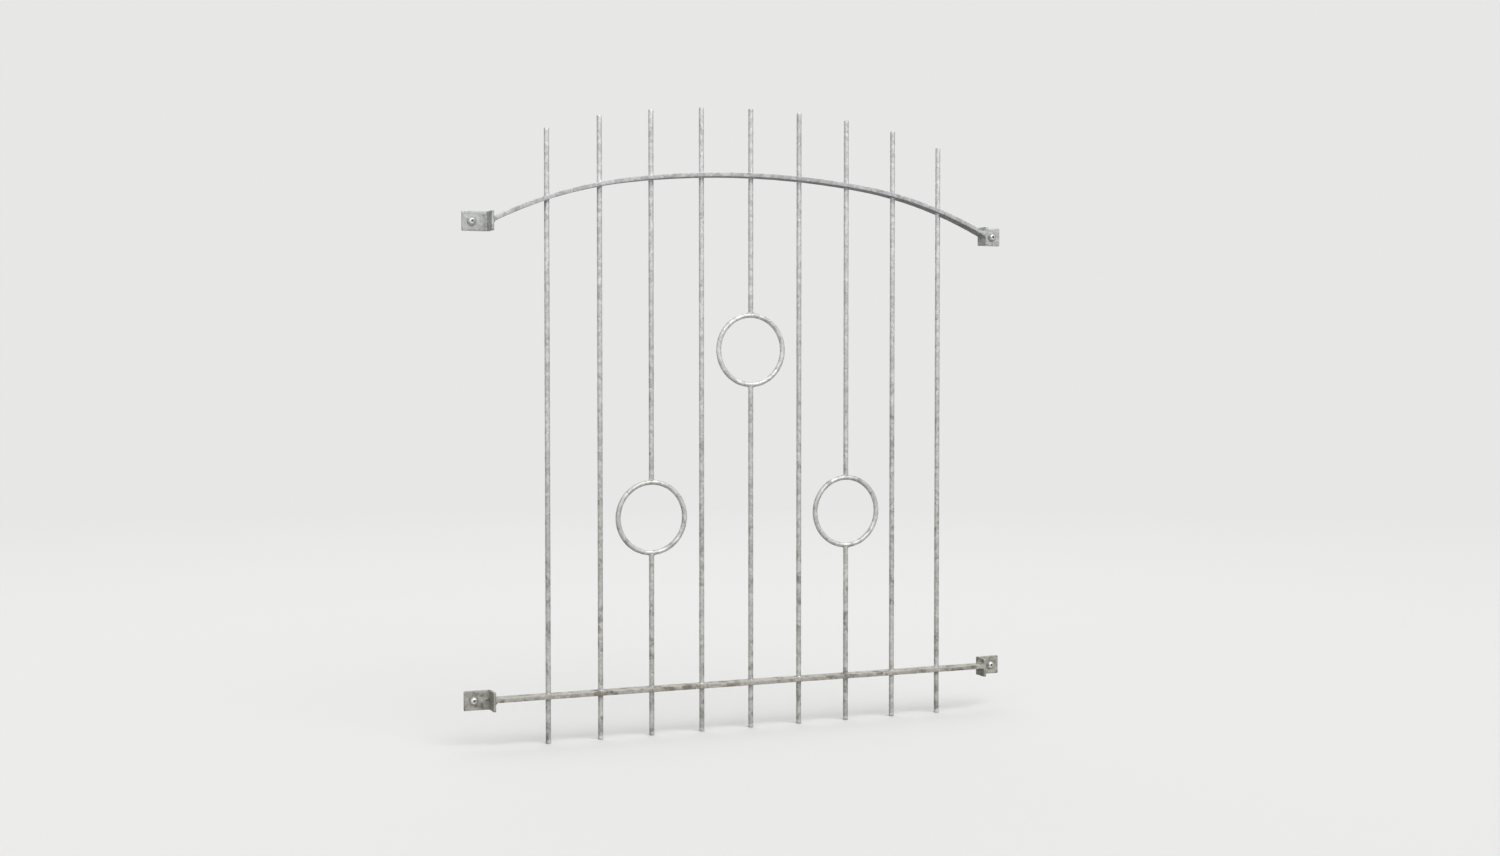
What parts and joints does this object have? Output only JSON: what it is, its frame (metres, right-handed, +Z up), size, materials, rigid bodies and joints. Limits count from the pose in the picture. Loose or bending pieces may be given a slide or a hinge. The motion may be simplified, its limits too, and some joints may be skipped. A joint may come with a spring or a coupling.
{
  "type": "window grille",
  "caption": "Galvanised steel window grille of upright round bars with rings let into some of them, held by an arched and a straight crossbar on L brackets screwed to the wall.",
  "frame": {"origin": "in the wall's plane, midway between the four wall screws", "axes": "+Z up, +Y into the wall, so the front faces -Y, +X to the right seen from the front"},
  "size_m": [1.18, 0.0934, 1.252],
  "materials": {
    "galvanised_bar": "hot-dip galvanised, matt, with soft darker blotches",
    "galvanised_bracket": "hot-dip galvanised, dull and mottled",
    "bright_zinc": "bright zinc plate, satin"
  },
  "bodies": {
    "root": {"upright_bar_1": "galvanised_bar", "upright_bar_2": "galvanised_bar", "upright_bar_3_upper": "galvanised_bar", "upright_bar_3_lower": "galvanised_bar", "upright_bar_4": "galvanised_bar", "upright_bar_5_upper": "galvanised_bar", "upright_bar_5_lower": "galvanised_bar", "upright_bar_6": "galvanised_bar", "upright_bar_7_upper": "galvanised_bar", "upright_bar_7_lower": "galvanised_bar", "upright_bar_8": "galvanised_bar", "upright_bar_9": "galvanised_bar", "ring_left": "galvanised_bar", "ring_centre": "galvanised_bar", "ring_right": "galvanised_bar", "arched_crossbar": "galvanised_bar", "straight_crossbar": "galvanised_bar", "bracket_upper_left": "galvanised_bracket", "bracket_upper_right": "galvanised_bracket", "bracket_lower_left": "galvanised_bracket", "bracket_lower_right": "galvanised_bracket", "anchor_washers": "bright_zinc", "anchor_screws": "bright_zinc"}
  },
  "joints": []
}
